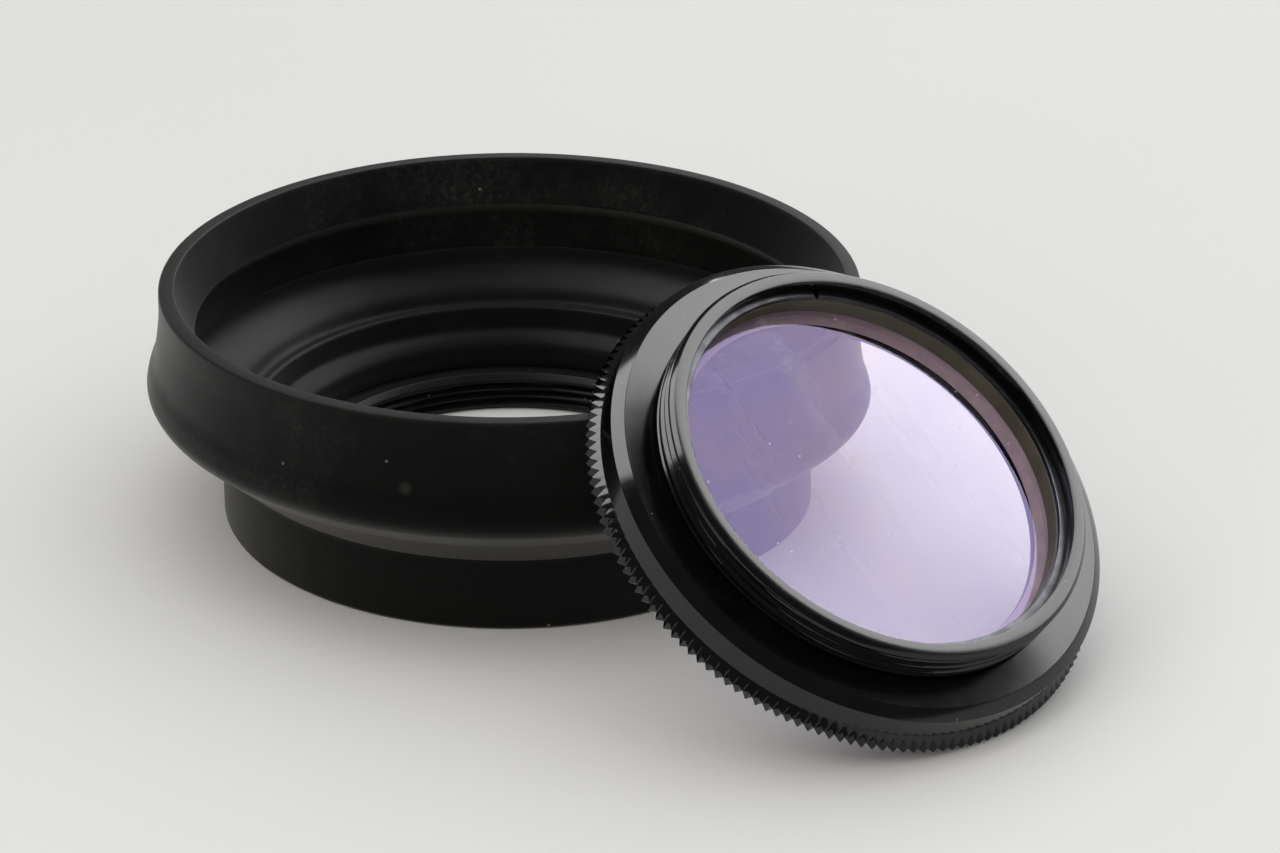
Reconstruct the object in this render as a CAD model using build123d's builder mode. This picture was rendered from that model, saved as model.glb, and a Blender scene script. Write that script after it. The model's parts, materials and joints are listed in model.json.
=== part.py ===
"""Screw-in Barlow lens cell leaning on its fold-down rubber hood.

The hood stands on its collar at the origin, +Z up. The lens cell is modelled in its own tilted plane:
its threaded end faces up and away from the hood, its lowest edge touches the table.
All sizes are in millimetres.
"""
from build123d import *
from math import cos, pi, radians, sin
import os

# ---- rubber hood ---------------------------------------------------------------------------------
HOOD_HEIGHT = 16.4
RIM_RADIUS = 23.6
RIM_LAND = 1.05            # flat top of the rim
BULGE_RADIUS = 24.66       # widest place of the front band
BULGE_Z = 9.65
BAND_FOOT_RADIUS = 23.6    # where the band turns under
BAND_FOOT_Z = 8.3
BAND_THROAT = 21.3         # lower edge of the sloped lip inside the rim
BAND_THROAT_DROP = 3.2     # from the rim down to that edge
BAND_HOLLOW_DROP = 4.9     # from the rim down to where the wall starts to curve into the lip
RIM_FILLET = 0.22
UNDERSIDE_SLOPE = 0.875    # rise of the conical underside per millimetre of radius
SHOULDER_CREST_Z = 9.45    # top of the rounded shoulder that the fold makes inside the hood
SHOULDER_FALL = 1.85       # how far the shoulder drops over SHOULDER_WIDTH
SHOULDER_WIDTH = 3.6
SHOULDER_POWER = 1.6
FOLD_INNER = 19.9          # the hood's two live hinges, where band, fold and collar slide past each other
FOLD_OUTER = 22.5
HINGE_GAP = 0.07           # air on each side of a hinge

# ---- hood collar, radius and height of each step of its inside, from the top down ----------------
COLLAR_RADIUS = 19.76
COLLAR_FOOT_CHAMFER = 0.3
NECK_Z = 5.3               # the outside meets the conical underside just below this height
COLLAR_BROW = 18.9
COLLAR_BROW_DROP = 0.3
COLLAR_STEPS = ((17.35, 6.4), (17.15, 5.1), (16.15, 4.68), (15.62, 4.05))
LIP_RADIUS = 15.5          # the lowest step is a lip over the metal ring

# ---- thread shared by the cell and the hood's ring: 28.5 mm by 0.6 mm ---------------------------
THREAD_MAJOR = 14.25
THREAD_PITCH = 0.6
THREAD_DEPTH = 0.33
CREST_FLAT = 0.1

# ---- ring in the hood's base ---------------------------------------------------------------------
BASE_RING_RADIUS = 17.55
BASE_RING_HEIGHT = 2.8
BASE_RING_LEAD_IN = 0.35
BASE_RING_RIB = 0.4        # rib on the outside that locks the ring in the rubber
BASE_RING_RIB_FOOT = 0.9
BASE_RING_RIB_TOP = 1.9
BASE_RING_RIB_SLOPE = 0.3

# ---- lens cell, heights measured down from its threaded rim --------------------------------------
CELL_HEIGHT = 5.87
CELL_BORE = 13.23
RIM_CHAMFER = 0.23
THREAD_END = 2.15          # where the thread runs out into its relief groove
RELIEF_RADIUS = 13.85
FLANGE_DEPTH = 2.56
FLANGE_RADIUS = 16.18
SHOULDER_DEPTH = 3.1
SHOULDER_RADIUS = 16.86
KNURL_DEPTH = 4.74         # where the knurl starts
KNURL_RADIUS = 17.41
KNURL_TOOTH = 0.36
KNURL_TEETH = 154
KNURL_CHAMFER = 0.42
KNURL_FOOT_BEVEL = 0.1     # the knurl's lowest corner stands on the table
LEDGE_RADIUS = 12.25       # inner edge of the ledge that carries the glass
LEDGE_TOP = 4.0
RECESS_FLOOR = 4.4
COUNTERBORE_RADIUS = 15.1
COUNTERBORE_DEPTH = 0.85
FOOT_CHAMFER = 0.2

# ---- what the cell holds -------------------------------------------------------------------------
GLASS_RADIUS = 13.0
GLASS_SEAT_RADIUS = 13.05
GLASS_TOP = 2.35           # edge of the front element
CEMENT_DEPTH = 3.1
FRONT_CURVE = 600.0        # radii of curvature of the doublet's surfaces
CEMENT_CURVE = 800.0
REAR_CURVE = 130.0
GLASS_BEVEL = 0.12
SPACER_INSIDE = 12.7
SNAP_TOP = 0.78
SNAP_THICKNESS = 0.38
SNAP_INSIDE = 12.72
SNAP_GROOVE = 13.5
SNAP_GAP = 0.35            # gap between the ends of the split ring
SNAP_GAP_ANGLE = 160.0     # around the cell, from its lowest point
SNAP_PLAY = 0.02           # air above and below the ring in its groove
SNAP_GROOVE_PLAY = 0.05

# ---- how the cell leans --------------------------------------------------------------------------
LEAN = 35.24               # between the cell's axis and the vertical
LEAN_AZIMUTH = -49.06      # the way it faces, from +X
CELL_REACH = 34.1          # from the hood's axis to the cell's rim centre, in plan
CELL_REACH_AZIMUTH = -48.17

os.makedirs("parts", exist_ok=True)

# The cell's frame: origin in the middle of its threaded rim, axis pointing out of the thread.
cell_axis = Vector(
    sin(radians(LEAN)) * cos(radians(LEAN_AZIMUTH)),
    sin(radians(LEAN)) * sin(radians(LEAN_AZIMUTH)),
    cos(radians(LEAN)),
)
downhill = Vector(
    cos(radians(LEAN)) * cos(radians(LEAN_AZIMUTH)),
    cos(radians(LEAN)) * sin(radians(LEAN_AZIMUTH)),
    -sin(radians(LEAN)),
)
cell_centre = Vector(
    CELL_REACH * cos(radians(CELL_REACH_AZIMUTH)),
    CELL_REACH * sin(radians(CELL_REACH_AZIMUTH)),
    CELL_HEIGHT * cos(radians(LEAN)) + (KNURL_RADIUS - KNURL_FOOT_BEVEL) * sin(radians(LEAN)),
)
cell_plane = Plane(origin=cell_centre, x_dir=downhill, z_dir=cell_axis)
# In the section plane, local x is the radius and local y is the height along the cell's axis.
cell_section = Plane(origin=cell_centre, x_dir=downhill, z_dir=downhill.cross(cell_axis))
turning_axis = Axis(cell_centre, cell_axis)


def thread_grooves(start, end, radius, depth):
    """Corner points of the V grooves of a thread, from start down to end, cut from radius by depth."""
    half = (THREAD_PITCH - CREST_FLAT) / 2
    count = int((start - end) / THREAD_PITCH)
    points = []
    for turn in range(count):
        middle = start - (turn + 0.5) * THREAD_PITCH
        points.append((radius, middle + half))
        points.append((radius - depth, middle))
        points.append((radius, middle - half))
    return points


# ---- hood: front band ----------------------------------------------------------------------------
# The underside runs straight from the band's foot down and inwards to the neck.
band_wall = FOLD_OUTER + HINGE_GAP
band_foot = (BAND_FOOT_RADIUS, BAND_FOOT_Z)
band_throat = (BAND_THROAT, HOOD_HEIGHT - BAND_THROAT_DROP)
rim_inner = (RIM_RADIUS - RIM_LAND, HOOD_HEIGHT)
rim_outer = (RIM_RADIUS, HOOD_HEIGHT)


def underside(radius):
    """Height of the hood's conical underside at this radius."""
    return BAND_FOOT_Z - UNDERSIDE_SLOPE * (BAND_FOOT_RADIUS - radius)


def shoulder(radius):
    """Height of the rounded shoulder that the fold makes inside the hood."""
    inward = (band_wall - radius) / SHOULDER_WIDTH
    return SHOULDER_CREST_Z - SHOULDER_FALL * inward**SHOULDER_POWER


with BuildPart() as hood_front_band:
    with BuildSketch(Plane.XZ):
        with BuildLine():
            Line(rim_inner, rim_outer)
            Spline(
                rim_outer,
                (RIM_RADIUS + 0.08, HOOD_HEIGHT - 2.2),
                (RIM_RADIUS + 0.45, HOOD_HEIGHT - 4.6),
                (BULGE_RADIUS - 0.2, BULGE_Z + 0.95),
                (BULGE_RADIUS, BULGE_Z),
                (BULGE_RADIUS - 0.36, BULGE_Z - 0.75),
                band_foot,
            )
            Line(band_foot, (band_wall, underside(band_wall)))
            Line((band_wall, underside(band_wall)), (band_wall, HOOD_HEIGHT - BAND_HOLLOW_DROP))
            Spline(
                (band_wall, HOOD_HEIGHT - BAND_HOLLOW_DROP),
                (band_wall - 0.35, HOOD_HEIGHT - 4.0),
                band_throat,
                tangents=((0, 1), (-1, 0.75)),
            )
            Line(band_throat, rim_inner)
        make_face()
    revolve(axis=Axis.Z)
    fillet(hood_front_band.edges().filter_by(GeomType.CIRCLE).group_by(Axis.Z)[-1], RIM_FILLET)

# ---- hood: fold ----------------------------------------------------------------------------------
# The middle ring of the moulding, between the two hinges.
fold_outside = FOLD_OUTER - HINGE_GAP
fold_inside = FOLD_INNER + HINGE_GAP
with BuildPart() as hood_fold:
    with BuildSketch(Plane.XZ):
        with BuildLine():
            Line((fold_outside, underside(fold_outside)), (fold_inside, underside(fold_inside)))
            Line((fold_inside, underside(fold_inside)), (fold_inside, shoulder(fold_inside)))
            Spline(
                (fold_inside, shoulder(fold_inside)),
                (FOLD_INNER + 0.9, shoulder(FOLD_INNER + 0.9)),
                (FOLD_INNER + 1.8, shoulder(FOLD_INNER + 1.8)),
                (fold_outside, shoulder(fold_outside)),
            )
            Line((fold_outside, shoulder(fold_outside)), (fold_outside, underside(fold_outside)))
        make_face()
    revolve(axis=Axis.Z)

# ---- hood: collar --------------------------------------------------------------------------------
# The inside steps inwards on its way down, and a groove in it holds the metal ring.
collar_top = FOLD_INNER - HINGE_GAP
ring_outside = [
    (BASE_RING_RADIUS, 0),
    (BASE_RING_RADIUS, BASE_RING_RIB_FOOT),
    (BASE_RING_RADIUS + BASE_RING_RIB, BASE_RING_RIB_FOOT + BASE_RING_RIB_SLOPE),
    (BASE_RING_RADIUS + BASE_RING_RIB, BASE_RING_RIB_TOP - BASE_RING_RIB_SLOPE),
    (BASE_RING_RADIUS, BASE_RING_RIB_TOP),
    (BASE_RING_RADIUS, BASE_RING_HEIGHT),
]
with BuildPart() as hood_collar:
    with BuildSketch(Plane.XZ):
        with BuildLine():
            Polyline(
                (collar_top, NECK_Z - 0.4),
                (collar_top, shoulder(collar_top)),
                (COLLAR_BROW, shoulder(COLLAR_BROW)),
                (COLLAR_BROW - 0.25, shoulder(COLLAR_BROW) - COLLAR_BROW_DROP),
                *COLLAR_STEPS,
                (LIP_RADIUS, BASE_RING_HEIGHT),
                *reversed(ring_outside),
                (COLLAR_RADIUS - COLLAR_FOOT_CHAMFER, 0),
                (COLLAR_RADIUS, COLLAR_FOOT_CHAMFER),
                (COLLAR_RADIUS, NECK_Z - 0.5),
                close=True,
            )
        make_face()
    revolve(axis=Axis.Z)

# ---- hood: threaded ring in the base -------------------------------------------------------------
ring_bore = THREAD_MAJOR - THREAD_DEPTH
ring_mouth = ring_bore + BASE_RING_LEAD_IN
with BuildPart() as base_thread_ring:
    with BuildSketch(Plane.XZ):
        with BuildLine():
            inside = [(ring_mouth, BASE_RING_HEIGHT), (ring_bore, BASE_RING_HEIGHT - BASE_RING_LEAD_IN)]
            inside += thread_grooves(
                BASE_RING_HEIGHT - BASE_RING_LEAD_IN, BASE_RING_LEAD_IN, ring_bore, -THREAD_DEPTH
            )
            inside += [(ring_bore, BASE_RING_LEAD_IN), (ring_mouth, 0)]
            Polyline(*inside, *ring_outside, close=True)
        make_face()
    revolve(axis=Axis.Z)

# ---- cell body: knurl ----------------------------------------------------------------------------
# A toothed ring, trimmed by two cones so that every tooth has a bevelled top and bottom.
tooth_angle = 2 * pi / KNURL_TEETH
tooth_points = []
for tooth in range(KNURL_TEETH):
    tip = tooth * tooth_angle
    valley = tip + tooth_angle / 2
    tooth_points.append((KNURL_RADIUS * cos(tip), KNURL_RADIUS * sin(tip)))
    tooth_points.append(
        ((KNURL_RADIUS - KNURL_TOOTH) * cos(valley), (KNURL_RADIUS - KNURL_TOOTH) * sin(valley))
    )

with BuildPart() as knurl:
    with BuildSketch(cell_plane.offset(-CELL_HEIGHT)):
        with BuildLine():
            Polyline(*tooth_points, close=True)
        make_face()
        Circle(SHOULDER_RADIUS - 0.6, mode=Mode.SUBTRACT)
    extrude(amount=CELL_HEIGHT - KNURL_DEPTH + 0.1)
    with BuildSketch(cell_section):
        with BuildLine():
            Polyline(
                (0, -CELL_HEIGHT),
                (KNURL_RADIUS - KNURL_FOOT_BEVEL, -CELL_HEIGHT),
                (KNURL_RADIUS, -CELL_HEIGHT + KNURL_FOOT_BEVEL),
                (KNURL_RADIUS, -KNURL_DEPTH - KNURL_CHAMFER),
                (SHOULDER_RADIUS, -KNURL_DEPTH),
                (0, -KNURL_DEPTH),
                close=True,
            )
        make_face()
    revolve(axis=turning_axis, mode=Mode.INTERSECT)

# ---- cell body: turned ring ----------------------------------------------------------------------
recess_bore = THREAD_MAJOR - THREAD_DEPTH
counterbore_floor = -CELL_HEIGHT + COUNTERBORE_DEPTH
with BuildPart() as cell_body:
    with BuildSketch(cell_section):
        with BuildLine():
            top = [(CELL_BORE, 0), (THREAD_MAJOR - RIM_CHAMFER, 0), (THREAD_MAJOR, -RIM_CHAMFER)]
            thread = thread_grooves(-RIM_CHAMFER, -THREAD_END, THREAD_MAJOR, THREAD_DEPTH)
            outside = [
                (THREAD_MAJOR, -THREAD_END + 0.1),
                (RELIEF_RADIUS, -THREAD_END - 0.1),
                (RELIEF_RADIUS, -FLANGE_DEPTH),
                (FLANGE_RADIUS, -FLANGE_DEPTH),
                (SHOULDER_RADIUS, -SHOULDER_DEPTH),
                (SHOULDER_RADIUS, -CELL_HEIGHT + FOOT_CHAMFER),
                (SHOULDER_RADIUS - FOOT_CHAMFER, -CELL_HEIGHT),
            ]
            underside = [
                (COUNTERBORE_RADIUS, -CELL_HEIGHT),
                (COUNTERBORE_RADIUS, counterbore_floor),
                (recess_bore + FOOT_CHAMFER, counterbore_floor),
                (recess_bore, counterbore_floor + FOOT_CHAMFER),
                (recess_bore, -RECESS_FLOOR),
                (LEDGE_RADIUS, -RECESS_FLOOR),
                (LEDGE_RADIUS, -LEDGE_TOP),
            ]
            inside = [
                (GLASS_SEAT_RADIUS, -LEDGE_TOP),
                (GLASS_SEAT_RADIUS, -SNAP_TOP - SNAP_THICKNESS - SNAP_PLAY),
                (SNAP_GROOVE, -SNAP_TOP - SNAP_THICKNESS - SNAP_PLAY),
                (SNAP_GROOVE, -SNAP_TOP + SNAP_PLAY),
                (CELL_BORE, -SNAP_TOP + SNAP_PLAY),
            ]
            Polyline(*top, *thread, *outside, *underside, *inside, close=True)
        make_face()
    revolve(axis=turning_axis)
    add(knurl.part)

# ---- glass: a weak negative doublet --------------------------------------------------------------
# Each element is a disc cut by large spheres centred on the cell's axis. The front element is hollow on
# both sides; the rear one fits its back and is hollow behind.


def sag(curve):
    """Depth of a spherical surface of this radius of curvature at the glass's edge."""
    return curve - (curve**2 - GLASS_RADIUS**2) ** 0.5


front_sphere = cell_centre + cell_axis * (FRONT_CURVE - GLASS_TOP - sag(FRONT_CURVE))
cement_sphere = cell_centre + cell_axis * (sag(CEMENT_CURVE) - CEMENT_DEPTH - CEMENT_CURVE)
rear_sphere = cell_centre + cell_axis * (sag(REAR_CURVE) - LEDGE_TOP - REAR_CURVE)

with BuildPart() as front_element:
    with BuildSketch(cell_plane.offset(-CEMENT_DEPTH)):
        Circle(GLASS_RADIUS)
    extrude(amount=CEMENT_DEPTH - GLASS_TOP)
    chamfer(front_element.edges().filter_by(GeomType.CIRCLE).sort_by(turning_axis)[-1], GLASS_BEVEL)
    with Locations(front_sphere):
        Sphere(FRONT_CURVE, mode=Mode.SUBTRACT)
    with Locations(cement_sphere):
        Sphere(CEMENT_CURVE, mode=Mode.SUBTRACT)

with BuildPart() as rear_element:
    with BuildSketch(cell_plane.offset(-LEDGE_TOP)):
        Circle(GLASS_RADIUS)
    extrude(amount=LEDGE_TOP - CEMENT_DEPTH + sag(CEMENT_CURVE))
    with Locations(cement_sphere):
        Sphere(CEMENT_CURVE, mode=Mode.INTERSECT)
    with Locations(rear_sphere):
        Sphere(REAR_CURVE, mode=Mode.SUBTRACT)

# ---- rings that hold the glass -------------------------------------------------------------------
with BuildPart() as spacer_ring:
    with BuildSketch(cell_plane.offset(-GLASS_TOP)):
        Circle(GLASS_RADIUS)
        Circle(SPACER_INSIDE, mode=Mode.SUBTRACT)
    extrude(amount=GLASS_TOP - SNAP_TOP - SNAP_THICKNESS)

with BuildPart() as snap_ring:
    with BuildSketch(cell_plane.offset(-SNAP_TOP - SNAP_THICKNESS)):
        Circle(SNAP_GROOVE - SNAP_GROOVE_PLAY)
        Circle(SNAP_INSIDE, mode=Mode.SUBTRACT)
        with PolarLocations(SNAP_INSIDE, 1, start_angle=SNAP_GAP_ANGLE):
            Rectangle(3, SNAP_GAP, mode=Mode.SUBTRACT)
    extrude(amount=SNAP_THICKNESS)

# ---- write the pieces ----------------------------------------------------------------------------
pieces = {
    "hood_front_band": hood_front_band,
    "hood_fold": hood_fold,
    "hood_collar": hood_collar,
    "base_thread_ring": base_thread_ring,
    "cell_body": cell_body,
    "front_element": front_element,
    "rear_element": rear_element,
    "spacer_ring": spacer_ring,
    "snap_ring": snap_ring,
}
for piece_name, piece in pieces.items():
    piece.part.label = piece_name
    export_step(piece.part, f"parts/{piece_name}.step")
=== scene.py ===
"""Looks of the screw-in lens cell and its fold-down rubber hood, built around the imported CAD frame."""
import json
import math

import bmesh
import bpy
from mathutils import Matrix, Vector


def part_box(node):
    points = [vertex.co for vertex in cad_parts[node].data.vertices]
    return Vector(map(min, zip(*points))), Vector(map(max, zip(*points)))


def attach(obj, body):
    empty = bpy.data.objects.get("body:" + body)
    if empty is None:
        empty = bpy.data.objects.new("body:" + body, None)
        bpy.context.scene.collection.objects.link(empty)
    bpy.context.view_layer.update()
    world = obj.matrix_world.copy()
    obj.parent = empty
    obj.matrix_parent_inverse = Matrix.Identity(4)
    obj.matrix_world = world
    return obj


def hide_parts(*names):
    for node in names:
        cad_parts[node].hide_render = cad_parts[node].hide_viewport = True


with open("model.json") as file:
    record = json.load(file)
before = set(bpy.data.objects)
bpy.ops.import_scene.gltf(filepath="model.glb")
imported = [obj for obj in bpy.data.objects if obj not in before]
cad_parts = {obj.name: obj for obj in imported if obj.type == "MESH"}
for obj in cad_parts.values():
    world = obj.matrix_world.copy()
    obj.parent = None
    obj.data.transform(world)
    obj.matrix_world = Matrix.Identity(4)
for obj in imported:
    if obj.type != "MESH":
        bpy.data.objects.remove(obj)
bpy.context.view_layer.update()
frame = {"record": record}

MM = 0.001
TURN = 2 * math.pi

# ---- where the CAD frame puts things -------------------------------------------------------------
mounts = {m["name"]: m for m in frame["record"]["mounts"]}
CELL_AXIS = Vector(mounts["cell_thread"]["axis"]).normalized()
THREAD_MOUNT_DEPTH = 1.2  # mm, from the cell's rim down to its thread mount
CELL_RIM = Vector(mounts["cell_thread"]["pos_m"]) + CELL_AXIS * THREAD_MOUNT_DEPTH * MM
CELL_DOWNHILL = Vector((0, 0, 1)).cross(CELL_AXIS).normalized().cross(CELL_AXIS)
CELL_SIDE = CELL_AXIS.cross(CELL_DOWNHILL)

HOOD_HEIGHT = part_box("hood_front_band")[1].z / MM
BULGE_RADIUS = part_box("hood_front_band")[1].x / MM
COLLAR_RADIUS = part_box("hood_collar")[1].x / MM
BASE_RING_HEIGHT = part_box("base_thread_ring")[1].z / MM

# ---- sizes, in millimetres -----------------------------------------------------------------------
RIM_RADIUS = 23.6
RIM_LAND = 1.05
BULGE_Z = 9.65
BAND_FOOT = (23.6, 8.3)
UNDERSIDE_SLOPE = 0.875
BAND_THROAT_DROP = 3.0  # from the rim's top to the foot of the inner lip
BAND_HOLLOW = 22.5  # inner radius of the band, which the fold slides in
FOLD_INNER = 19.9
FOLD_OUTER = 22.47
SHOULDER_CREST = (22.57, 9.45)
SHOULDER_FALL = 1.85
SHOULDER_WIDTH = 3.6
SHOULDER_POWER = 1.6
COLLAR_STEP = 18.9
NECK_Z = 5.3
LIP_RADIUS = 15.5
BASE_RING_RADIUS = 17.55
BASE_RING_RIB = 0.4
BASE_RING_MOUTH = 0.35
SCUFF_RADIUS = 24.3
SCUFF_ANGLE = 254
SCUFF_Z = 11.9

THREAD_MAJOR = 14.25
THREAD_PITCH = 0.6
THREAD_DEPTH = 0.33

CELL_HEIGHT = 5.87
CELL_BORE = 13.23
THREAD_END = 2.15
RELIEF_RADIUS = 13.85
FLANGE_DEPTH = 2.56
FLANGE_RADIUS = 16.18
SHOULDER_DEPTH = 3.1
SHOULDER_RADIUS = 16.86
KNURL_DEPTH = 4.74
KNURL_RADIUS = 17.41
KNURL_TOOTH = 0.36
KNURL_TEETH = 154
KNURL_BEVEL = 0.42  # fall of the bevel above the teeth
LEDGE_RADIUS = 12.25
LEDGE_TOP = 4.0
RECESS_FLOOR = 4.4
COUNTERBORE = (15.1, 0.85)  # radius, depth
GLASS_RADIUS = 13.0
GLASS_TOP = 2.35
CEMENT_DEPTH = 3.1
SEAT_RADIUS = 13.05
SPACER_INSIDE = 12.7
SNAP_TOP = 0.78
SNAP_THICKNESS = 0.38
SNAP_INSIDE = 12.72
SNAP_GROOVE = 13.5
SNAP_GAP = 0.35
SNAP_GAP_ANGLE = 160.0
FRONT_CURVE = 600.0  # radii of the glass faces; hollow seen from above if positive
CEMENT_CURVE = -800.0
REAR_CURVE = -130.0
FRONT_BEVEL = 0.12
REAR_BEVEL = 0.01

# ---- looks -----------------------------------------------------------------------------------------
GLASS_INDEX = 1.53
SHEEN = 0.2
SHEEN_ROUGHNESS = 0.45
ANODISED_DARK = (0.0016, 0.0016, 0.0017)
ANODISED_LIGHT = (0.003, 0.003, 0.0033)
SPECK_COLOUR = (0.25, 0.25, 0.24)
# lighter rubber for the rim and the bend under the bulge: painted highlight, with some rubbed wear at the rim
HIGHLIGHT_AND_WEAR_COLOUR = (0.06, 0.06, 0.057)
RUBBED_COLOUR = (0.03, 0.03, 0.029)

# ---- room, panels and camera -----------------------------------------------------------------------
ROOM = 0.1
CEILING = 5.8
FILL = 1.04
FRONT_FILL = 1.05
TABLE_HALF_SIZE = 2.5
TABLE_DROP = 0.00002  # just under the pieces that stand on it
CAMERA_DISTANCE = 0.24138
CAMERA_HEIGHT_ANGLE = math.radians(26.23)
CAMERA_AIM = Vector((8.83, 0, 5.09)) * MM
CAMERA_ROLL = 0.0096
CAMERA_LENS = 97.68
CAMERA_SENSOR = 36.0


# ---- mesh helpers --------------------------------------------------------------------------------
def mesh_object(name, vertices, faces, sharp_angle=30.0):
    """A smooth-shaded mesh object with creases where faces meet at more than sharp_angle degrees."""
    mesh = bpy.data.meshes.new(name)
    mesh.from_pydata([tuple(v) for v in vertices], [], faces)
    mesh.update()
    work = bmesh.new()
    work.from_mesh(mesh)
    bmesh.ops.recalc_face_normals(work, faces=work.faces)
    work.to_mesh(mesh)
    work.free()
    mesh.shade_smooth()
    mesh.set_sharp_from_angle(angle=math.radians(sharp_angle))
    item = bpy.data.objects.new(name, mesh)
    bpy.context.scene.collection.objects.link(item)
    return item


def hood_point(radius, angle, z):
    return Vector((radius * math.cos(angle), radius * math.sin(angle), z)) * MM


def cell_point(radius, angle, z):
    """A point in the cell's own frame: angle from its lowest point, z up its axis from the rim."""
    across = CELL_DOWNHILL * math.cos(angle) + CELL_SIDE * math.sin(angle)
    return CELL_RIM + (across * radius + CELL_AXIS * z) * MM


def turned(name, place, rows, angles, closed=True, sharp_angle=30.0):
    """A turned shape. Each row is a function of the column number that gives (radius, z)."""
    columns = len(angles)
    vertices = []
    for row in rows:
        for column, angle in enumerate(angles):
            radius, z = row(column)
            vertices.append(place(radius, angle, z))
    faces = []
    last = len(rows) if closed else len(rows) - 1
    for i in range(last):
        below = (i + 1) % len(rows)
        for j in range(columns):
            beside = (j + 1) % columns
            faces.append(
                (
                    i * columns + j,
                    i * columns + beside,
                    below * columns + beside,
                    below * columns + j,
                )
            )
    return mesh_object(name, vertices, faces, sharp_angle)


def plain_rows(points):
    """Rows of a shape that is the same all round."""
    return [lambda column, p=p: p for p in points]


def even_angles(count):
    return [TURN * i / count for i in range(count)]


def rounded(corners, steps=4):
    """An outline with each corner (radius, z, fillet) replaced by a small arc. The outline is closed."""
    points = []
    for i, (r, z, fillet) in enumerate(corners):
        corner = Vector((r, z))
        if fillet <= 0:
            points.append((r, z))
            continue
        before = (Vector(corners[i - 1][:2]) - corner).normalized()
        after = (Vector(corners[(i + 1) % len(corners)][:2]) - corner).normalized()
        half = before.angle(after) / 2
        reach = fillet / math.tan(half)
        start = corner + before * reach
        end = corner + after * reach
        centre = corner + (before + after).normalized() * (fillet / math.sin(half))
        for step in range(steps + 1):
            t = step / steps
            spoke = (start - centre).lerp(end - centre, t).normalized() * fillet
            points.append(tuple(centre + spoke))
    return points


def smooth_curve(points, steps):
    """A Catmull-Rom curve through the points, with this many steps between each two."""
    p = [Vector(q) for q in points]
    p = [p[0] * 2 - p[1]] + p + [p[-1] * 2 - p[-2]]
    curve = []
    for i in range(1, len(p) - 2):
        for step in range(steps):
            t = step / steps
            a = (p[i + 1] - p[i - 1]) * 0.5
            b = (p[i + 2] - p[i]) * 0.5
            d = p[i + 1] - p[i]
            curve.append(p[i] + a * t + (d * 3 - a * 2 - b) * t**2 + (a + b - d * 2) * t**3)
    curve.append(p[-2])
    return [tuple(c) for c in curve]


# ---- node helpers --------------------------------------------------------------------------------
class Nodes:
    """Short names for building one material's node tree."""

    def __init__(self, name):
        self.material = bpy.data.materials.new(name)
        self.material.use_nodes = True
        self.tree = self.material.node_tree
        self.tree.nodes.clear()
        self.output = self.tree.nodes.new("ShaderNodeOutputMaterial")

    def add(self, kind, setting=None, **values):
        """A node. A value is a number or a socket, and its key is an input's name, or i and its number."""
        node = self.tree.nodes.new(kind)
        if setting is not None:
            setattr(node, *setting)
        for key, value in values.items():
            if key[0] == "i" and key[1:].isdigit():
                socket = node.inputs[int(key[1:])]
            else:
                socket = node.inputs[key]
            if isinstance(value, bpy.types.NodeSocket):
                self.tree.links.new(value, socket)
            else:
                socket.default_value = value
        return node

    def wire(self, source, node, name):
        """Links to an input whose name has a space in it."""
        self.tree.links.new(source, node.inputs[name])

    def math(self, operation, a, b=0.0, c=0.0):
        return self.add("ShaderNodeMath", ("operation", operation), i0=a, i1=b, i2=c).outputs[0]

    def ramp(self, factor, stops):
        """Colours along a scale: stops are (place, colour)."""
        node = self.add("ShaderNodeValToRGB", i0=factor)
        elements = node.color_ramp.elements
        while len(elements) < len(stops):
            elements.new(0.5)
        for element, (place, colour) in zip(elements, stops):
            element.position = place
            element.color = (*colour, 1)
        return node.outputs[0]

    def mix(self, factor, a, b):
        """Colour a, turning into the plain colour b as factor goes to 1."""
        return self.add("ShaderNodeMix", ("data_type", "RGBA"), i0=factor, i6=a, i7=(*b, 1)).outputs[2]

    def noise(self, vector, scale, detail=3.0, roughness=0.5):
        node = self.add("ShaderNodeTexNoise", Vector=vector, Scale=scale, Detail=detail, Roughness=roughness)
        return node.outputs["Fac"]

    def object_coordinates(self):
        return self.add("ShaderNodeTexCoord").outputs["Object"]

    def in_cell(self):
        """Coordinates in the cell's own frame, in metres: x and y across it, z up its axis."""
        turn = Matrix((CELL_DOWNHILL, CELL_SIDE, CELL_AXIS))
        mapping = self.add(
            "ShaderNodeMapping",
            Vector=self.object_coordinates(),
            Rotation=turn.to_euler("XYZ"),
            Location=-(turn @ CELL_RIM),
        )
        return mapping.outputs[0]

    def split(self, vector):
        """The x, y and z of a vector."""
        return self.add("ShaderNodeSeparateXYZ", i0=vector).outputs

    def bump(self, height, strength, distance):
        return self.add("ShaderNodeBump", Height=height, Strength=strength, Distance=distance).outputs[0]

    def principled(self, colour, rough, normal=None, **values):
        """The standard shader; values go straight to its own inputs."""
        shader = self.add("ShaderNodeBsdfPrincipled", Roughness=rough, **values)
        self.wire(colour, shader, "Base Color")
        if normal is not None:
            self.wire(normal, shader, "Normal")
        return shader

    def surface(self, shader):
        self.tree.links.new(shader, self.output.inputs["Surface"])
        return self.material


def dust(n, vector, scale, share):
    """1 on tiny specks spread at random, 0 elsewhere. share is how many of the cells hold one."""
    cells = n.add("ShaderNodeTexVoronoi", Vector=vector, Scale=scale, Randomness=1.0)
    near = n.math("LESS_THAN", cells.outputs["Distance"], 0.11)
    chosen = n.add("ShaderNodeSeparateColor", i0=cells.outputs["Color"])
    return n.math("MULTIPLY", near, n.math("LESS_THAN", chosen.outputs[0], share))


SCUFF = hood_point(SCUFF_RADIUS, math.radians(SCUFF_ANGLE), SCUFF_Z)  # a round mark on the hood's front


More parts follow.
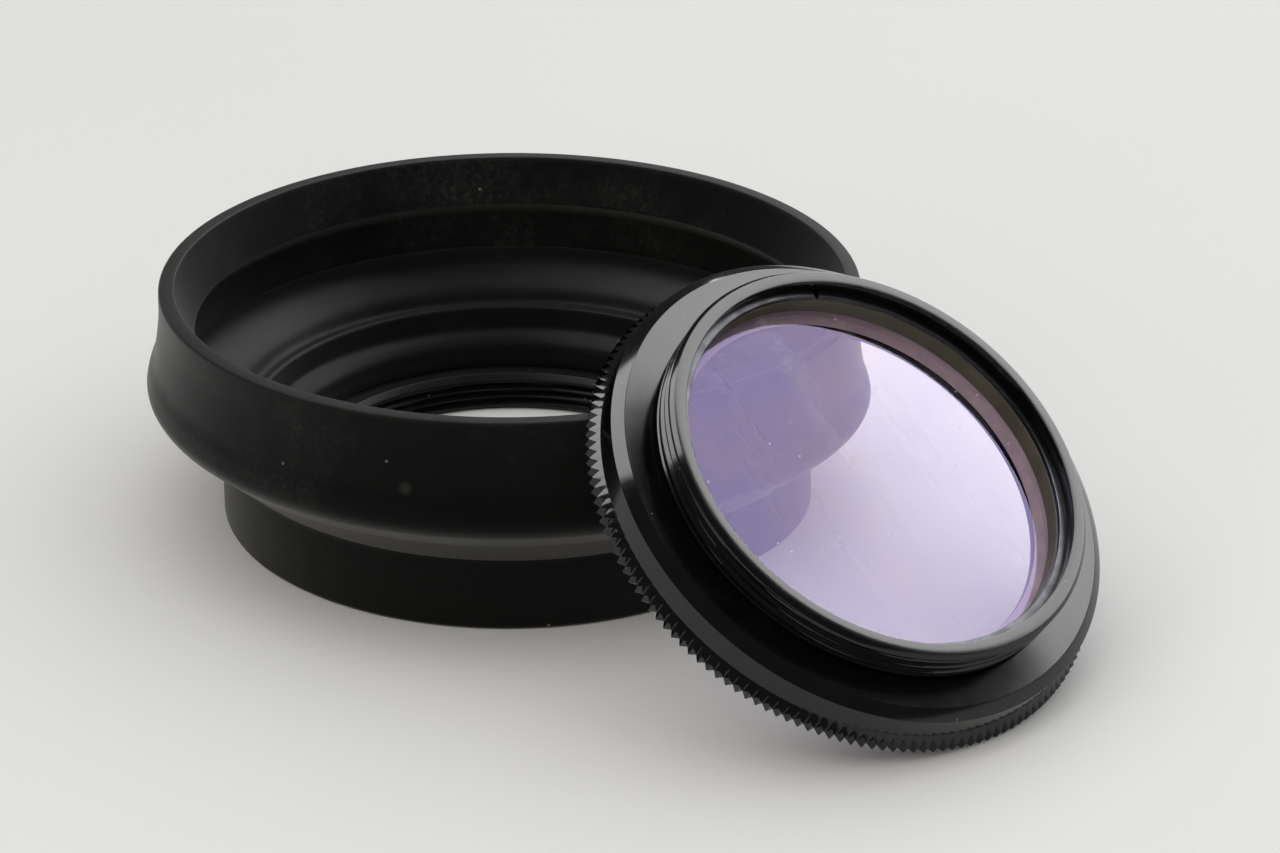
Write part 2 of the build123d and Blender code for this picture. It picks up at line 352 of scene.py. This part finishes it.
# ---- materials -----------------------------------------------------------------------------------
def highlight_and_wear_at_edges(n, place):
    """How much the rim and the bend under the bulge are lightened, from 0 to 1, in patches: a painted highlight
    where light catches these edges, partly rubbed wear at the rim.
    """
    height_mm = n.math("MULTIPLY", n.split(place)[2], 1000.0)
    above = n.math("MULTIPLY", n.math("SUBTRACT", height_mm, 16.1), 4.0)
    rim = n.math("SMOOTH_MIN", n.math("MAXIMUM", above, 0.0), 1.0, 0.1)
    apart = n.math("ABSOLUTE", n.math("SUBTRACT", height_mm, 8.0))
    bend = n.math("SUBTRACT", 1.0, n.math("MINIMUM", apart, 1.0))
    patchy = n.math("ADD", n.noise(place, 180.0, 4.0, 0.65), 0.25)
    # the rim counts a little and the bend fully; at the bend this is a painted highlight
    highlight_and_wear = n.math("MAXIMUM", n.math("MULTIPLY", rim, 0.15), n.math("MAXIMUM", bend, 0.0))
    return highlight_and_wear, patchy


def rubber_material(name, gloss, bloomed, wear_and_highlight):
    """Black moulded rubber: fine satin grain, faint grey bloom, rubbed patches, a few dust specks, and a
    painted highlight along the rim and the bend under the bulge.
    """
    n = Nodes(name)
    place = n.object_coordinates()
    bloom = n.noise(place, 55.0, 5.0, 0.6)
    colour = n.ramp(bloom, [(0.35, (0.002, 0.002, 0.0018)), (0.75, (bloomed, bloomed, bloomed * 0.95))])
    edge_highlight, patchy = highlight_and_wear_at_edges(n, place)
    # painted highlight along the rim and the bend under the bulge, partly rubbed wear at the rim; the last
    # argument scales it together with the rubbed patches
    colour = n.mix(n.math("MULTIPLY", edge_highlight, n.math("MULTIPLY", patchy, wear_and_highlight)), colour, HIGHLIGHT_AND_WEAR_COLOUR)
    rubbed = n.ramp(n.noise(place, 75.0, 6.0, 0.7), [(0.52, (0, 0, 0)), (0.7, (1, 1, 1))])
    grainy = n.ramp(n.noise(place, 2600.0, 3.0, 0.7), [(0.45, (0.25,) * 3), (0.65, (1, 1, 1))])
    rubbed = n.math("MULTIPLY", n.math("MULTIPLY", rubbed, grainy), 0.6 * wear_and_highlight)
    colour = n.mix(rubbed, colour, RUBBED_COLOUR)
    apart = n.add("ShaderNodeVectorMath", ("operation", "DISTANCE"), i0=place, i1=SCUFF).outputs["Value"]
    scuff = n.ramp(n.math("MULTIPLY", apart, 1000.0), [(0.25, (1, 1, 1)), (0.6, (0, 0, 0))])
    colour = n.mix(n.math("MULTIPLY", scuff, 0.6), colour, (0.03, 0.03, 0.028))
    specks = dust(n, place, 900.0, 0.05)
    colour = n.mix(n.math("MULTIPLY", specks, 0.35), colour, SPECK_COLOUR)
    rough = n.ramp(n.noise(place, 120.0, 4.0), [(0.3, (0.38,) * 3), (0.7, (0.48,) * 3)])
    grain = n.noise(place, 5200.0, 2.0, 0.6)
    soft = n.noise(place, 260.0, 3.0, 0.5)
    normal = n.bump(n.math("ADD", grain, n.math("MULTIPLY", soft, 1.5)), 0.35, 0.00003)
    shader = n.principled(colour, rough, normal, Metallic=0.0, IOR=1.5)
    shader.inputs["Specular IOR Level"].default_value = gloss
    shader.inputs["Sheen Weight"].default_value = SHEEN
    shader.inputs["Sheen Roughness"].default_value = SHEEN_ROUGHNESS
    return n.surface(shader.outputs[0])


def anodised_material(name, dark, light, roughness, index, place_in_cell):
    """Dyed anodised aluminium with the fine rings that the turning tool leaves."""
    n = Nodes(name)
    place = n.in_cell() if place_in_cell else n.object_coordinates()
    x, y, z = n.split(place)
    radius = n.math("SQRT", n.math("ADD", n.math("MULTIPLY", x, x), n.math("MULTIPLY", y, y)))
    along = n.math("ADD", radius, n.math("MULTIPLY", z, 0.83))
    ring_place = n.add("ShaderNodeCombineXYZ", i0=n.math("MULTIPLY", along, 26000.0))
    rings = n.noise(ring_place.outputs[0], 1.0, 2.0, 0.6)
    cloud = n.noise(place, 420.0, 4.0, 0.6)
    fine = n.noise(place, 9000.0, 1.0, 0.5)
    specks = dust(n, place, 1500.0, 0.04)
    colour = n.ramp(cloud, [(0.3, dark), (0.7, light)])
    colour = n.mix(n.math("MULTIPLY", specks, 0.3), colour, (0.3, 0.3, 0.29))
    rough = n.math("ADD", n.math("MULTIPLY", cloud, 0.08), roughness - 0.04)
    normal = n.bump(n.math("ADD", rings, n.math("MULTIPLY", fine, 0.6)), 0.1, 0.000005)
    return n.surface(n.principled(colour, rough, normal, Metallic=0.0, IOR=index).outputs[0])


def blend(n, share, first, second):
    """Two shaders mixed: the second one's share is a number or a socket."""
    return n.add("ShaderNodeMixShader", i0=share, i1=first, i2=second).outputs[0]


def coated_glass(n, tint, tint_of_light, share):
    """A smooth glass face: bends what is seen through it, and mirrors in the coating's colour."""
    bent = n.add("ShaderNodeBsdfRefraction", Color=(*tint_of_light, 1), Roughness=0.0, IOR=GLASS_INDEX)
    mirror = n.add("ShaderNodeBsdfGlossy", Color=tint, Roughness=0.03)
    fresnel = n.add("ShaderNodeFresnel", IOR=GLASS_INDEX)
    return blend(n, n.math("MULTIPLY", fresnel.outputs[0], share), bent.outputs[0], mirror.outputs[0])


def lamps_through(n, shader, tint_of_light):
    """Lets lamps shine straight through the glass on to what is behind it."""
    path = n.add("ShaderNodeLightPath")
    clear = n.add("ShaderNodeBsdfTransparent", Color=(*tint_of_light, 1))
    return blend(n, path.outputs["Is Shadow Ray"], shader, clear.outputs[0])


def coated_face_material():
    """The coated front of the glass: a violet reflection, faint smears and dust."""
    n = Nodes("coated_glass_face")
    place = n.in_cell()
    light = (0.955, 0.94, 0.965)
    patches = n.noise(place, 90.0, 3.0, 0.55)
    tint = n.ramp(patches, [(0.3, (0.68, 0.57, 1.1)), (0.5, (0.73, 0.62, 1.1)), (0.72, (0.88, 0.69, 1.0))])
    coated = coated_glass(n, tint, light, 1.0)
    along_smears = n.add(
        "ShaderNodeMapping", Vector=place, Rotation=(0, 0, math.radians(28)), Scale=(40, 620, 100)
    ).outputs[0]
    smears = n.ramp(n.noise(along_smears, 1.0, 4.0, 0.65), [(0.55, (0, 0, 0)), (0.75, (1, 1, 1))])
    specks = dust(n, place, 1300.0, 0.12)
    film = n.math("ADD", n.math("MULTIPLY", smears, 0.2), n.math("MULTIPLY", specks, 0.5))
    haze = n.add("ShaderNodeBsdfDiffuse", Color=(0.75, 0.76, 0.85, 1))
    return n.surface(lamps_through(n, blend(n, film, coated, haze.outputs[0]), light))


def back_face_material():
    """The back of the glass, with a fainter reflection."""
    n = Nodes("coated_glass_back")
    light = (0.97, 0.965, 0.975)
    tint = n.ramp(n.noise(n.in_cell(), 60.0, 2.0), [(0.3, (0.5, 0.4, 0.8)), (0.7, (0.62, 0.46, 0.74))])
    return n.surface(lamps_through(n, coated_glass(n, tint, light, 0.25), light))


def cement_face_material():
    """The cemented joint between the two elements: as good as invisible."""
    n = Nodes("cemented_face")
    shade = n.ramp(n.noise(n.in_cell(), 200.0), [(0.3, (0.985, 0.985, 0.985)), (0.7, (1, 1, 1))])
    return n.surface(n.add("ShaderNodeBsdfTransparent", Color=shade).outputs[0])


def ground_edge_material(name, dark, light):
    """The ground edge of a glass element, painted light: it stands in for the light these edges catch, and on
    the front element for the coating's violet reflection.
    """
    n = Nodes(name)
    place = n.in_cell()
    colour = n.ramp(n.noise(place, 900.0, 4.0), [(0.3, dark), (0.7, light)])
    normal = n.bump(n.noise(place, 12000.0), 0.3, 0.00001)
    return n.surface(n.principled(colour, 0.5, normal).outputs[0])


def steel_material():
    """Blackened spring steel with a slightly streaky polish, rubbed thin in places."""
    n = Nodes("spring_steel")
    place = n.in_cell()
    patches = n.noise(place, 700.0, 4.0, 0.6)
    colour = n.ramp(patches, [(0.35, (0.06, 0.061, 0.066)), (0.7, (0.1, 0.101, 0.11))])
    rough = n.ramp(patches, [(0.3, (0.42,) * 3), (0.7, (0.3,) * 3)])
    normal = n.bump(n.noise(place, 8000.0), 0.2, 0.000008)
    return n.surface(n.principled(colour, rough, normal, Metallic=1.0).outputs[0])


def table_material():
    """A pale, very slightly warm table top."""
    n = Nodes("pale_table")
    cloud = n.noise(n.object_coordinates(), 9.0, 4.0)
    colour = n.ramp(cloud, [(0.3, (0.775, 0.772, 0.762)), (0.7, (0.80, 0.797, 0.79))])
    shader = n.principled(colour, 0.55)
    shader.inputs["Specular IOR Level"].default_value = 0.03
    return n.surface(shader.outputs[0])


# both rubbers get the painted edge highlight; the inner one only faintly, where the fold's shoulder reaches the
# bend's height
RUBBER = rubber_material("moulded_rubber", 0.045, 0.004, 1.0)
INNER_RUBBER = rubber_material("inner_rubber", 0.08, 0.0022, 0.2)
ANODISED = anodised_material("black_anodised", ANODISED_DARK, ANODISED_LIGHT, 0.11, 1.47, True)
RING_ANODISED = anodised_material("black_anodised_ring", ANODISED_DARK, ANODISED_LIGHT, 0.42, 1.3, False)
OLIVE = anodised_material("olive_anodised", (0.06, 0.055, 0.035), (0.09, 0.082, 0.055), 0.45, 1.45, True)
STEEL = steel_material()


# ---- rubber hood ---------------------------------------------------------------------------------
HOOD_COLUMNS = even_angles(360)


def underside(radius):
    return BAND_FOOT[1] - UNDERSIDE_SLOPE * (BAND_FOOT[0] - radius)


def shoulder(radius):
    fall = ((SHOULDER_CREST[0] - radius) / SHOULDER_WIDTH) ** SHOULDER_POWER
    return SHOULDER_CREST[1] - SHOULDER_FALL * fall


def build_front_band():
    """Rim, conical outside that bulges low down, sloped inner lip with a hollow under it."""
    outside = smooth_curve(
        [
            (RIM_RADIUS, HOOD_HEIGHT - 0.22),
            (RIM_RADIUS + 0.08, HOOD_HEIGHT - 2.2),
            (RIM_RADIUS + 0.45, HOOD_HEIGHT - 4.6),
            (BULGE_RADIUS - 0.2, BULGE_Z + 0.95),
            (BULGE_RADIUS - 0.02, BULGE_Z),
            (BULGE_RADIUS - 0.36, BULGE_Z - 0.75),
            BAND_FOOT,
        ],
        8,
    )
    hollow = smooth_curve(
        [
            (BAND_HOLLOW, underside(BAND_HOLLOW)),
            (BAND_HOLLOW, BULGE_Z),
            (BAND_HOLLOW, HOOD_HEIGHT - 4.7),
            (BAND_HOLLOW - 0.32, HOOD_HEIGHT - 3.95),
            (BAND_HOLLOW - 1.2, HOOD_HEIGHT - BAND_THROAT_DROP - 0.15),
        ],
        6,
    )
    lip = rounded(
        [
            (BAND_HOLLOW - 1.22, HOOD_HEIGHT - BAND_THROAT_DROP, 0),
            (RIM_RADIUS - RIM_LAND, HOOD_HEIGHT, 0.14),
            (RIM_RADIUS, HOOD_HEIGHT, 0.2),
            (RIM_RADIUS, HOOD_HEIGHT - 0.6, 0),
        ]
    )[:-1]
    return turned("hood_front_band", hood_point, plain_rows(outside + hollow + lip), HOOD_COLUMNS)


def build_fold():
    """The middle ring of the moulding: rounded shoulder above, straight cone below."""
    steps = 16
    radii = [FOLD_INNER + (FOLD_OUTER - FOLD_INNER) * i / steps for i in range(steps + 1)]
    top = [(radius, shoulder(radius)) for radius in radii]
    foot = [(radius, underside(radius)) for radius in (FOLD_OUTER, FOLD_INNER)]
    return turned("hood_fold", hood_point, plain_rows(top + foot), HOOD_COLUMNS)


def build_collar():
    """Plain outside, stepped inside, with a groove for the metal ring."""
    steps = smooth_curve(
        [
            (FOLD_INNER, shoulder(FOLD_INNER)),
            (COLLAR_STEP, shoulder(COLLAR_STEP)),
            (18.25, shoulder(COLLAR_STEP) - 0.75),
            (17.5, NECK_Z + 1.3),
            (17.25, NECK_Z + 0.5),
            (17.0, NECK_Z - 0.1),
            (16.3, NECK_Z - 0.55),
            (15.8, NECK_Z - 1.0),
            (15.58, NECK_Z - 1.6),
            (LIP_RADIUS, BASE_RING_HEIGHT + 0.05),
        ],
        5,
    )
    outside = rounded(
        [
            (LIP_RADIUS, BASE_RING_HEIGHT + 0.05, 0),
            (BASE_RING_RADIUS, BASE_RING_HEIGHT + 0.02, 0),
            (BASE_RING_RADIUS, 1.9, 0),
            (BASE_RING_RADIUS + BASE_RING_RIB, 1.6, 0),
            (BASE_RING_RADIUS + BASE_RING_RIB, 1.2, 0),
            (BASE_RING_RADIUS, 0.9, 0),
            (BASE_RING_RADIUS, 0, 0),
            (COLLAR_RADIUS, 0, 0.3),
            (COLLAR_RADIUS, NECK_Z - 0.5, 0.4),
            (FOLD_INNER, underside(FOLD_INNER), 0),
        ]
    )[1:]
    return turned("hood_collar", hood_point, plain_rows(steps + outside), HOOD_COLUMNS)


# ---- threads and knurl ---------------------------------------------------------------------------
def thread_rows(radius, depth, start, end, per_pitch=12):
    """Rows down a helical thread cut into radius by depth, fading out at both ends."""
    count = int((start - end) / THREAD_PITCH * per_pitch)

    def row(i):
        z = start + (end - start) * i / count
        fade = min(1.0, i / 3, (count - i) / 3)

        def at(column):
            phase = (z / THREAD_PITCH + column / len(CELL_COLUMNS)) % 1.0
            groove = max(0.0, 1 - abs(phase - 0.5) / 0.42)
            return radius - depth * groove * fade, z

        return at

    return [row(i) for i in range(count + 1)]


def knurl_angles():
    """Column angles: each tooth has a narrow flat tip, a narrow flat valley and two flanks."""
    step = TURN / KNURL_TEETH
    shares = (-0.04, 0.04, 0.25, 0.46, 0.54, 0.75)
    return [(tooth + share) * step for tooth in range(KNURL_TEETH) for share in shares]


CELL_COLUMNS = knurl_angles()
TOOTH_HEIGHT = (1.0, 1.0, 0.5, 0.0, 0.0, 0.5)


def knurl_row(trim, z):
    """A row over the teeth, cut back by trim. With no z it runs along the crease with the top bevel."""

    def at(column):
        tall = TOOTH_HEIGHT[column % len(TOOTH_HEIGHT)]
        radius = KNURL_RADIUS - KNURL_TOOTH * (1 - tall)
        if z is not None:
            return radius - trim, z
        slope = KNURL_BEVEL / (KNURL_RADIUS - SHOULDER_RADIUS)
        return radius, -KNURL_DEPTH - (radius - SHOULDER_RADIUS) * slope

    return at


def build_cell_body():
    """The turned ring: rim, male thread, flange, bevel, knurl, and the recess and ledge underneath."""
    rim = rounded(
        [
            (CELL_BORE, -0.4, 0),
            (CELL_BORE, 0, 0.05),
            (THREAD_MAJOR - 0.23, 0, 0.03),
            (THREAD_MAJOR, -0.23, 0.03),
            (THREAD_MAJOR, -0.4, 0),
        ]
    )[1:-1]
    middle = rounded(
        [
            (THREAD_MAJOR, -THREAD_END + 0.2, 0),
            (THREAD_MAJOR, -THREAD_END, 0.03),
            (RELIEF_RADIUS, -THREAD_END - 0.15, 0.04),
            (RELIEF_RADIUS, -FLANGE_DEPTH, 0.12),
            (FLANGE_RADIUS, -FLANGE_DEPTH, 0.06),
            (SHOULDER_RADIUS, -SHOULDER_DEPTH, 0.05),
            (SHOULDER_RADIUS, -KNURL_DEPTH + 0.06, 0.03),
            (SHOULDER_RADIUS + 0.06, -KNURL_DEPTH, 0),
        ]
    )[1:-1]
    knurl = [
        knurl_row(0, None),
        knurl_row(0, -CELL_HEIGHT + 0.1),
        knurl_row(0.1, -CELL_HEIGHT),
    ]
    bore = THREAD_MAJOR - THREAD_DEPTH
    counterbore_floor = -CELL_HEIGHT + COUNTERBORE[1]
    recess = rounded(
        [
            (COUNTERBORE[0] + 1, -CELL_HEIGHT, 0),
            (COUNTERBORE[0], -CELL_HEIGHT, 0.05),
            (COUNTERBORE[0], counterbore_floor, 0.05),
            (bore, counterbore_floor, 0.05),
            (bore, -RECESS_FLOOR, 0.05),
            (LEDGE_RADIUS, -RECESS_FLOOR, 0.06),
            (LEDGE_RADIUS, -LEDGE_TOP, 0.06),
            (SEAT_RADIUS, -LEDGE_TOP, 0.03),
            (SEAT_RADIUS, -SNAP_TOP - SNAP_THICKNESS - 0.02, 0.02),
            (SNAP_GROOVE, -SNAP_TOP - SNAP_THICKNESS - 0.02, 0.02),
            (SNAP_GROOVE, -SNAP_TOP + 0.02, 0.02),
            (CELL_BORE, -SNAP_TOP + 0.02, 0.02),
            (CELL_BORE, 0, 0),
        ],
        2,
    )[1:-1]
    rows = plain_rows(rim)
    rows += thread_rows(THREAD_MAJOR, THREAD_DEPTH, -0.28, -THREAD_END + 0.05)
    rows += plain_rows(middle) + knurl + plain_rows(recess)
    return turned("cell_body", cell_point, rows, CELL_COLUMNS, sharp_angle=26.0)


def build_base_ring():
    """The metal ring in the hood's base, with its female thread."""
    bore = THREAD_MAJOR - THREAD_DEPTH
    mouth = bore + BASE_RING_MOUTH
    rim = rounded(
        [
            (bore, 1.4, 0),
            (bore, 0.35, 0),
            (mouth, 0, 0.05),
            (BASE_RING_RADIUS, 0, 0.05),
            (BASE_RING_RADIUS, 0.9, 0),
            (BASE_RING_RADIUS + BASE_RING_RIB - 0.02, 1.2, 0),
            (BASE_RING_RADIUS + BASE_RING_RIB - 0.02, 1.6, 0),
            (BASE_RING_RADIUS, 1.9, 0),
            (BASE_RING_RADIUS, BASE_RING_HEIGHT, 0.03),
            (mouth, BASE_RING_HEIGHT, 0.08),
            (bore, BASE_RING_HEIGHT - 0.35, 0),
        ]
    )[1:]
    rows = plain_rows(rim) + thread_rows(bore, -THREAD_DEPTH, BASE_RING_HEIGHT - 0.4, 0.4)
    return turned("base_thread_ring", hood_point, rows, CELL_COLUMNS)


# ---- glass and the rings that hold it ------------------------------------------------------------
def sag(curve, radius):
    return curve - math.sqrt(curve**2 - radius**2)


def lens_element(name, top_face, bottom_face, top_bevel, seated, materials):
    """A glass element. Each face is the height of its edge and its curve's radius, which is positive
    if the face is hollow seen from above and negative if it is domed. materials are for the top, the
    ground edge and the bottom. A seated element is also ground where it meets the ledge."""
    rings = 14
    count = 256
    angles = even_angles(count)

    def height(face, radius):
        edge_height, curve = face
        return edge_height - math.copysign(sag(abs(curve), GLASS_RADIUS) - sag(abs(curve), radius), curve)

    inner = GLASS_RADIUS - top_bevel
    top = [(inner * i / rings, height(top_face, inner * i / rings)) for i in range(1, rings + 1)]
    clear = [LEDGE_RADIUS * i / rings for i in range(rings, 0, -1)]
    bottom = [(r, height(bottom_face, r)) for r in [GLASS_RADIUS] + clear]
    outline = top + [(GLASS_RADIUS, top_face[0] - top_bevel)] + bottom
    vertices = [cell_point(r, a, z) for r, z in outline for a in angles]
    vertices.append(cell_point(0, 0, height(top_face, 0)))
    vertices.append(cell_point(0, 0, height(bottom_face, 0)))
    edge = len(top) + (2 if seated else 1)
    last = (len(outline) - 1) * count
    faces = []
    slots = []
    for j in range(count):
        beside = (j + 1) % count
        faces.append((len(vertices) - 2, j, beside))
        slots.append(0)
        faces.append((len(vertices) - 1, last + beside, last + j))
        slots.append(2)
        for i in range(len(outline) - 1):
            faces.append((i * count + j, (i + 1) * count + j, (i + 1) * count + beside, i * count + beside))
            slots.append(0 if i < len(top) - 1 else (1 if i < edge else 2))
    item = mesh_object(name, vertices, faces, 20.0)
    for material in materials:
        item.data.materials.append(material)
    item.data.polygons.foreach_set("material_index", slots)
    return item


def build_snap_ring():
    """A flat split ring with a gap between its ends."""
    half_gap = SNAP_GAP / SNAP_INSIDE / 2
    start = math.radians(SNAP_GAP_ANGLE) + half_gap
    sweep = TURN - 2 * half_gap
    count = 240
    section = rounded(
        [
            (SNAP_INSIDE, -SNAP_TOP - SNAP_THICKNESS, 0.06),
            (SNAP_GROOVE - 0.06, -SNAP_TOP - SNAP_THICKNESS, 0.06),
            (SNAP_GROOVE - 0.06, -SNAP_TOP, 0.06),
            (SNAP_INSIDE, -SNAP_TOP, 0.06),
        ],
        3,
    )
    vertices = []
    for i in range(count + 1):
        angle = start + sweep * i / count
        vertices += [cell_point(r, angle, z) for r, z in section]
    size = len(section)
    faces = [tuple(range(size)), tuple(count * size + k for k in reversed(range(size)))]
    for i in range(count):
        for k in range(size):
            beside = (k + 1) % size
            faces.append((i * size + k, (i + 1) * size + k, (i + 1) * size + beside, i * size + beside))
    return mesh_object("snap_ring", vertices, faces)


def build_spacer():
    """The thin ring between the glass and the snap ring."""
    low = -GLASS_TOP
    high = -SNAP_TOP - SNAP_THICKNESS
    outline = rounded(
        [
            (SPACER_INSIDE, low, 0.04),
            (GLASS_RADIUS, low, 0.02),
            (GLASS_RADIUS, high, 0.02),
            (SPACER_INSIDE, high, 0.05),
        ]
    )
    return turned("spacer_ring", cell_point, plain_rows(outline), even_angles(256))


# ---- put the pieces on their bodies --------------------------------------------------------------
def place_piece(piece, body, node, material=None):
    if material is not None:
        piece.data.materials.append(material)
    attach(piece, body)
    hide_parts(node)


def named(piece, name):
    piece.name = name
    return piece


FACE = coated_face_material()
BACK = back_face_material()
CEMENT = cement_face_material()
# both ground edges are painted light to stand in for the light they catch, the front one violet for the
# coating's reflection seen in it
FRONT_EDGE = ground_edge_material("front_ground_edge", (0.48, 0.37, 0.5), (0.62, 0.49, 0.64))
REAR_EDGE = ground_edge_material("rear_ground_edge", (0.5, 0.4, 0.46), (0.64, 0.52, 0.56))

place_piece(named(build_front_band(), "front_band"), "hood_front", "hood_front_band", RUBBER)
place_piece(named(build_fold(), "fold"), "hood_middle", "hood_fold", INNER_RUBBER)
place_piece(named(build_collar(), "collar"), "hood_base", "hood_collar", INNER_RUBBER)
thread_ring = named(build_base_ring(), "thread_ring")
place_piece(thread_ring, "hood_base", "base_thread_ring", RING_ANODISED)
place_piece(named(build_cell_body(), "knurled_cell"), "lens_cell", "cell_body", ANODISED)
front_glass = lens_element(
    "front_glass",
    (-GLASS_TOP, FRONT_CURVE),
    (-CEMENT_DEPTH, CEMENT_CURVE),
    FRONT_BEVEL,
    False,
    (FACE, FRONT_EDGE, CEMENT),
)
place_piece(front_glass, "lens_cell", "front_element")
rear_glass = lens_element(
    "rear_glass",
    (-CEMENT_DEPTH, CEMENT_CURVE),
    (-LEDGE_TOP, REAR_CURVE),
    REAR_BEVEL,
    True,
    (CEMENT, REAR_EDGE, BACK),
)
place_piece(rear_glass, "lens_cell", "rear_element")
place_piece(named(build_spacer(), "spacer"), "lens_cell", "spacer_ring", OLIVE)
place_piece(named(build_snap_ring(), "split_ring"), "lens_cell", "snap_ring", STEEL)


# ---- table, lights and camera --------------------------------------------------------------------
def build_table():
    size = TABLE_HALF_SIZE
    corners = [(-size, -size, 0), (size, -size, 0), (size, size, 0), (-size, size, 0)]
    table = mesh_object("table_top", corners, [(0, 1, 2, 3)])
    table.location.z = -TABLE_DROP
    table.data.materials.append(table_material())


def area_light(name, place, aim, width, height, radiance, colour=(1, 1, 1)):
    """A soft panel of this size in metres and this brightness, facing aim."""
    lamp = bpy.data.lights.new(name, "AREA")
    lamp.shape = "RECTANGLE"
    lamp.size = width
    lamp.size_y = height
    lamp.energy = radiance * math.pi * width * height
    lamp.color = colour
    item = bpy.data.objects.new(name, lamp)
    item.location = place
    item.rotation_euler = (Vector(aim) - Vector(place)).to_track_quat("-Z", "Y").to_euler()
    bpy.context.scene.collection.objects.link(item)
    return item


def build_camera():
    """A long lens looking down at the pair from in front."""
    data = bpy.data.cameras.new("camera")
    data.lens = CAMERA_LENS
    data.sensor_width = CAMERA_SENSOR
    data.clip_start = 0.01
    camera = bpy.data.objects.new("camera", data)
    place = Vector((0, -math.cos(CAMERA_HEIGHT_ANGLE), math.sin(CAMERA_HEIGHT_ANGLE))) * CAMERA_DISTANCE
    look = (CAMERA_AIM - place).to_track_quat("-Z", "Y").to_matrix()
    camera.matrix_world = Matrix.Translation(place) @ (look @ Matrix.Rotation(CAMERA_ROLL, 3, "Z")).to_4x4()
    bpy.context.scene.collection.objects.link(camera)
    bpy.context.scene.camera = camera


def build_room():
    """A dim room; the light comes from the panels."""
    world = bpy.data.worlds.new("room")
    world.use_nodes = True
    background = world.node_tree.nodes["Background"]
    background.inputs[0].default_value = (0.97, 0.98, 1.0, 1)
    background.inputs[1].default_value = ROOM
    bpy.context.scene.world = world


def build_lights():
    """A bright ceiling behind and a window at the left for the shine, and two wide soft fills for the table."""
    ceiling = area_light("ceiling", (1.0, 1.44, 1.0), (1.0, 1.44, 0), 1.8, 2.3, CEILING)
    window = area_light("window", (-0.55, 0.26, 1.0), (-0.55, 0.26, 0), 0.7, 0.8, CEILING)
    for lamp in (ceiling, window):
        lamp.visible_diffuse = False
        lamp.visible_transmission = False
    fill = area_light("fill", (0.35, 0.5, 1.3), (0.35, 0.5, 0), 4.0, 4.0, FILL, (0.985, 0.992, 1.0))
    front = area_light("front_fill", (-0.8, -1.4, 0.9), (0, 0, 0), 2.0, 2.0, FRONT_FILL, (1.0, 0.93, 0.8))
    for lamp in (fill, front):
        lamp.visible_glossy = False


bpy.context.scene.view_settings.view_transform = "Standard"
build_table()
build_room()
build_lights()
build_camera()
